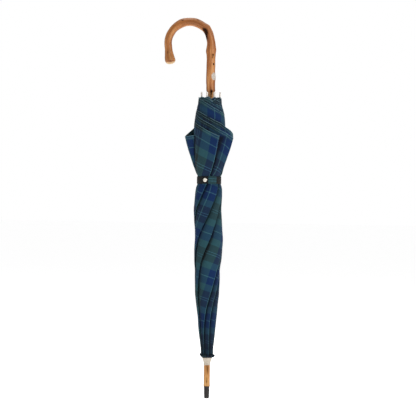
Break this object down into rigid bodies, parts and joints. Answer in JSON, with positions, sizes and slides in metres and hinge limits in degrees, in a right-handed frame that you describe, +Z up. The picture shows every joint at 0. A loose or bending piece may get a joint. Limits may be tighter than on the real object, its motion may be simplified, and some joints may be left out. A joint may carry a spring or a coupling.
{
  "type": "stick umbrella",
  "caption": "Furled full-length umbrella with a one-piece knotted chestnut crook and shaft, tartan canopy, strap with snap, metal collar and ferrule.",
  "frame": {"origin": "tip of the ferrule, on the shaft's axis", "axes": "+Z up the shaft to the crook, the crook bends towards -X, the snap faces -Y"},
  "size_m": [0.1676, 0.108, 0.9139],
  "materials": {
    "chestnut": "satin",
    "ferrule_metal": "satin",
    "silver_metal": "satin",
    "frame_steel": "satin",
    "spring_steel": "satin",
    "tartan_cloth": "matte",
    "elastic_cloth": "matte",
    "snap_metal": "polished"
  },
  "bodies": {
    "stick_body": {"stick": "chestnut", "ferrule": "ferrule_metal", "nose_collar": "silver_metal", "collar_nail": "silver_metal", "crown_ruffle": "tartan_cloth", "top_notch": "frame_steel", "notch_wire": "spring_steel", "spring_pins": "spring_steel", "stop_pin": "spring_steel"},
    "runner_body": {"runner": "frame_steel", "runner_wire": "spring_steel"},
    "top_spring_body": {"top_spring": "spring_steel"},
    "hand_spring_body": {"hand_spring": "spring_steel"},
    "rib_1_body": {"rib_1": "frame_steel", "rib_tip_1": "silver_metal", "rib_rivet_1": "spring_steel"},
    "stretcher_1_body": {"stretcher_1": "frame_steel"},
    "gore_1_body": {"canopy_gore_1": "tartan_cloth"},
    "rib_2_body": {"rib_2": "frame_steel", "rib_tip_2": "silver_metal", "rib_rivet_2": "spring_steel"},
    "stretcher_2_body": {"stretcher_2": "frame_steel"},
    "gore_2_body": {"canopy_gore_2": "tartan_cloth"},
    "rib_3_body": {"rib_3": "frame_steel", "rib_tip_3": "silver_metal", "rib_rivet_3": "spring_steel"},
    "stretcher_3_body": {"stretcher_3": "frame_steel"},
    "gore_3_body": {"canopy_gore_3": "tartan_cloth"},
    "rib_4_body": {"rib_4": "frame_steel", "rib_tip_4": "silver_metal", "rib_rivet_4": "spring_steel"},
    "stretcher_4_body": {"stretcher_4": "frame_steel"},
    "gore_4_body": {"canopy_gore_4": "tartan_cloth"},
    "rib_5_body": {"rib_5": "frame_steel", "rib_tip_5": "silver_metal", "rib_rivet_5": "spring_steel"},
    "stretcher_5_body": {"stretcher_5": "frame_steel"},
    "gore_5_body": {"canopy_gore_5": "tartan_cloth"},
    "rib_6_body": {"rib_6": "frame_steel", "rib_tip_6": "silver_metal", "rib_rivet_6": "spring_steel"},
    "stretcher_6_body": {"stretcher_6": "frame_steel"},
    "gore_6_body": {"canopy_gore_6": "tartan_cloth"},
    "rib_7_body": {"rib_7": "frame_steel", "rib_tip_7": "silver_metal", "rib_rivet_7": "spring_steel"},
    "stretcher_7_body": {"stretcher_7": "frame_steel"},
    "gore_7_body": {"canopy_gore_7": "tartan_cloth"},
    "rib_8_body": {"rib_8": "frame_steel", "rib_tip_8": "silver_metal", "rib_rivet_8": "spring_steel"},
    "stretcher_8_body": {"stretcher_8": "frame_steel"},
    "gore_8_body": {"canopy_gore_8": "tartan_cloth"},
    "strap_body": {"strap_band": "tartan_cloth", "strap_elastic": "elastic_cloth", "snap_backing": "elastic_cloth", "snap_stud": "snap_metal"},
    "snap_body": {"snap_cap": "snap_metal"}
  },
  "joints": [
    {"name": "runner_slide", "type": "slide", "parent": "stick_body", "child": "runner_body", "axis": [0, 0, -1], "range_m": [0, 0.30488]},
    {"name": "top_spring_press", "type": "hinge", "parent": "stick_body", "child": "top_spring_body", "pos_m": [0, -0.0045, 0.41649], "axis": [1, 0, 0], "range_deg": [0, 5], "stiffness_Nm_per_rad": 0.3},
    {"name": "hand_spring_press", "type": "hinge", "parent": "stick_body", "child": "hand_spring_body", "pos_m": [0, -0.0045, 0.63587], "axis": [-1, 0, 0], "range_deg": [0, 5], "stiffness_Nm_per_rad": 0.3},
    {"name": "rib_1_hinge", "type": "hinge", "parent": "stick_body", "child": "rib_1_body", "pos_m": [-0.00383, -0.00924, 0.112], "axis": [0.9239, -0.3827, 0], "range_deg": [0, 65.01]},
    {"name": "stretcher_1_hinge", "type": "hinge", "parent": "rib_1_body", "child": "stretcher_1_body", "pos_m": [-0.00604, -0.01458, 0.36693], "axis": [0.9239, -0.3827, 0], "range_deg": [-130.01, 0]},
    {"name": "gore_1_hinge", "type": "hinge", "parent": "rib_1_body", "child": "gore_1_body", "pos_m": [0, -0.01082, 0.112], "axis": [0, 0.8618, -0.5072], "range_deg": [0, 47.47], "deforming": ["canopy_gore_1"]},
    {"name": "rib_2_hinge", "type": "hinge", "parent": "stick_body", "child": "rib_2_body", "pos_m": [0.00383, -0.00924, 0.112], "axis": [0.9239, 0.3827, 0], "range_deg": [0, 65.01]},
    {"name": "stretcher_2_hinge", "type": "hinge", "parent": "rib_2_body", "child": "stretcher_2_body", "pos_m": [0.00604, -0.01458, 0.36693], "axis": [0.9239, 0.3827, 0], "range_deg": [-130.01, 0]},
    {"name": "gore_2_hinge", "type": "hinge", "parent": "rib_2_body", "child": "gore_2_body", "pos_m": [0.00765, -0.00765, 0.112], "axis": [-0.6094, 0.6094, -0.5072], "range_deg": [0, 47.47], "deforming": ["canopy_gore_2"]},
    {"name": "rib_3_hinge", "type": "hinge", "parent": "stick_body", "child": "rib_3_body", "pos_m": [0.00924, -0.00383, 0.112], "axis": [0.3827, 0.9239, 0], "range_deg": [0, 65.01]},
    {"name": "stretcher_3_hinge", "type": "hinge", "parent": "rib_3_body", "child": "stretcher_3_body", "pos_m": [0.01458, -0.00604, 0.36693], "axis": [0.3827, 0.9239, 0], "range_deg": [-130.01, 0]},
    {"name": "gore_3_hinge", "type": "hinge", "parent": "rib_3_body", "child": "gore_3_body", "pos_m": [0.01082, 0, 0.112], "axis": [-0.8618, 0, -0.5072], "range_deg": [0, 47.47], "deforming": ["canopy_gore_3"]},
    {"name": "rib_4_hinge", "type": "hinge", "parent": "stick_body", "child": "rib_4_body", "pos_m": [0.00924, 0.00383, 0.112], "axis": [-0.3827, 0.9239, 0], "range_deg": [0, 65.01]},
    {"name": "stretcher_4_hinge", "type": "hinge", "parent": "rib_4_body", "child": "stretcher_4_body", "pos_m": [0.01458, 0.00604, 0.36693], "axis": [-0.3827, 0.9239, 0], "range_deg": [-130.01, 0]},
    {"name": "gore_4_hinge", "type": "hinge", "parent": "rib_4_body", "child": "gore_4_body", "pos_m": [0.00765, 0.00765, 0.112], "axis": [-0.6094, -0.6094, -0.5072], "range_deg": [0, 47.47], "deforming": ["canopy_gore_4"]},
    {"name": "rib_5_hinge", "type": "hinge", "parent": "stick_body", "child": "rib_5_body", "pos_m": [0.00383, 0.00924, 0.112], "axis": [-0.9239, 0.3827, 0], "range_deg": [0, 65.01]},
    {"name": "stretcher_5_hinge", "type": "hinge", "parent": "rib_5_body", "child": "stretcher_5_body", "pos_m": [0.00604, 0.01458, 0.36693], "axis": [-0.9239, 0.3827, 0], "range_deg": [-130.01, 0]},
    {"name": "gore_5_hinge", "type": "hinge", "parent": "rib_5_body", "child": "gore_5_body", "pos_m": [0, 0.01082, 0.112], "axis": [0, -0.8618, -0.5072], "range_deg": [0, 47.47], "deforming": ["canopy_gore_5"]},
    {"name": "rib_6_hinge", "type": "hinge", "parent": "stick_body", "child": "rib_6_body", "pos_m": [-0.00383, 0.00924, 0.112], "axis": [-0.9239, -0.3827, 0], "range_deg": [0, 65.01]},
    {"name": "stretcher_6_hinge", "type": "hinge", "parent": "rib_6_body", "child": "stretcher_6_body", "pos_m": [-0.00604, 0.01458, 0.36693], "axis": [-0.9239, -0.3827, 0], "range_deg": [-130.01, 0]},
    {"name": "gore_6_hinge", "type": "hinge", "parent": "rib_6_body", "child": "gore_6_body", "pos_m": [-0.00765, 0.00765, 0.112], "axis": [0.6094, -0.6094, -0.5072], "range_deg": [0, 47.47], "deforming": ["canopy_gore_6"]},
    {"name": "rib_7_hinge", "type": "hinge", "parent": "stick_body", "child": "rib_7_body", "pos_m": [-0.00924, 0.00383, 0.112], "axis": [-0.3827, -0.9239, 0], "range_deg": [0, 65.01]},
    {"name": "stretcher_7_hinge", "type": "hinge", "parent": "rib_7_body", "child": "stretcher_7_body", "pos_m": [-0.01458, 0.00604, 0.36693], "axis": [-0.3827, -0.9239, 0], "range_deg": [-130.01, 0]},
    {"name": "gore_7_hinge", "type": "hinge", "parent": "rib_7_body", "child": "gore_7_body", "pos_m": [-0.01082, 0, 0.112], "axis": [0.8618, 0, -0.5072], "range_deg": [0, 47.47], "deforming": ["canopy_gore_7"]},
    {"name": "rib_8_hinge", "type": "hinge", "parent": "stick_body", "child": "rib_8_body", "pos_m": [-0.00924, -0.00383, 0.112], "axis": [0.3827, -0.9239, 0], "range_deg": [0, 65.01]},
    {"name": "stretcher_8_hinge", "type": "hinge", "parent": "rib_8_body", "child": "stretcher_8_body", "pos_m": [-0.01458, -0.00604, 0.36693], "axis": [0.3827, -0.9239, 0], "range_deg": [-130.01, 0]},
    {"name": "gore_8_hinge", "type": "hinge", "parent": "rib_8_body", "child": "gore_8_body", "pos_m": [-0.00765, -0.00765, 0.112], "axis": [0.6094, 0.6094, -0.5072], "range_deg": [0, 47.47], "deforming": ["canopy_gore_8"]},
    {"name": "strap_draw", "type": "slide", "parent": "rib_1_body", "child": "strap_body", "axis": [0.3826, 0.9236, 0.0227], "range_m": [0, 0.00781], "deforming": ["strap_band", "strap_elastic"]},
    {"name": "snap_pull", "type": "slide", "parent": "strap_body", "child": "snap_body", "axis": [-0.3584, -0.9336, 0], "range_m": [0, 0.003]}
  ],
  "couplings": [
    {"joint": "rib_1_hinge", "follows": "runner_slide", "rad_per_m": 3.7211},
    {"joint": "stretcher_1_hinge", "follows": "runner_slide", "rad_per_m": -7.4421},
    {"joint": "gore_1_hinge", "follows": "runner_slide", "rad_per_m": 2.7171},
    {"joint": "rib_2_hinge", "follows": "runner_slide", "rad_per_m": 3.7211},
    {"joint": "stretcher_2_hinge", "follows": "runner_slide", "rad_per_m": -7.4421},
    {"joint": "gore_2_hinge", "follows": "runner_slide", "rad_per_m": 2.7171},
    {"joint": "rib_3_hinge", "follows": "runner_slide", "rad_per_m": 3.7211},
    {"joint": "stretcher_3_hinge", "follows": "runner_slide", "rad_per_m": -7.4421},
    {"joint": "gore_3_hinge", "follows": "runner_slide", "rad_per_m": 2.7171},
    {"joint": "rib_4_hinge", "follows": "runner_slide", "rad_per_m": 3.7211},
    {"joint": "stretcher_4_hinge", "follows": "runner_slide", "rad_per_m": -7.4421},
    {"joint": "gore_4_hinge", "follows": "runner_slide", "rad_per_m": 2.7171},
    {"joint": "rib_5_hinge", "follows": "runner_slide", "rad_per_m": 3.7211},
    {"joint": "stretcher_5_hinge", "follows": "runner_slide", "rad_per_m": -7.4421},
    {"joint": "gore_5_hinge", "follows": "runner_slide", "rad_per_m": 2.7171},
    {"joint": "rib_6_hinge", "follows": "runner_slide", "rad_per_m": 3.7211},
    {"joint": "stretcher_6_hinge", "follows": "runner_slide", "rad_per_m": -7.4421},
    {"joint": "gore_6_hinge", "follows": "runner_slide", "rad_per_m": 2.7171},
    {"joint": "rib_7_hinge", "follows": "runner_slide", "rad_per_m": 3.7211},
    {"joint": "stretcher_7_hinge", "follows": "runner_slide", "rad_per_m": -7.4421},
    {"joint": "gore_7_hinge", "follows": "runner_slide", "rad_per_m": 2.7171},
    {"joint": "rib_8_hinge", "follows": "runner_slide", "rad_per_m": 3.7211},
    {"joint": "stretcher_8_hinge", "follows": "runner_slide", "rad_per_m": -7.4421},
    {"joint": "gore_8_hinge", "follows": "runner_slide", "rad_per_m": 2.7171},
    {"joint": "strap_draw", "follows": "runner_slide", "ratio": 0.025584}
  ]
}
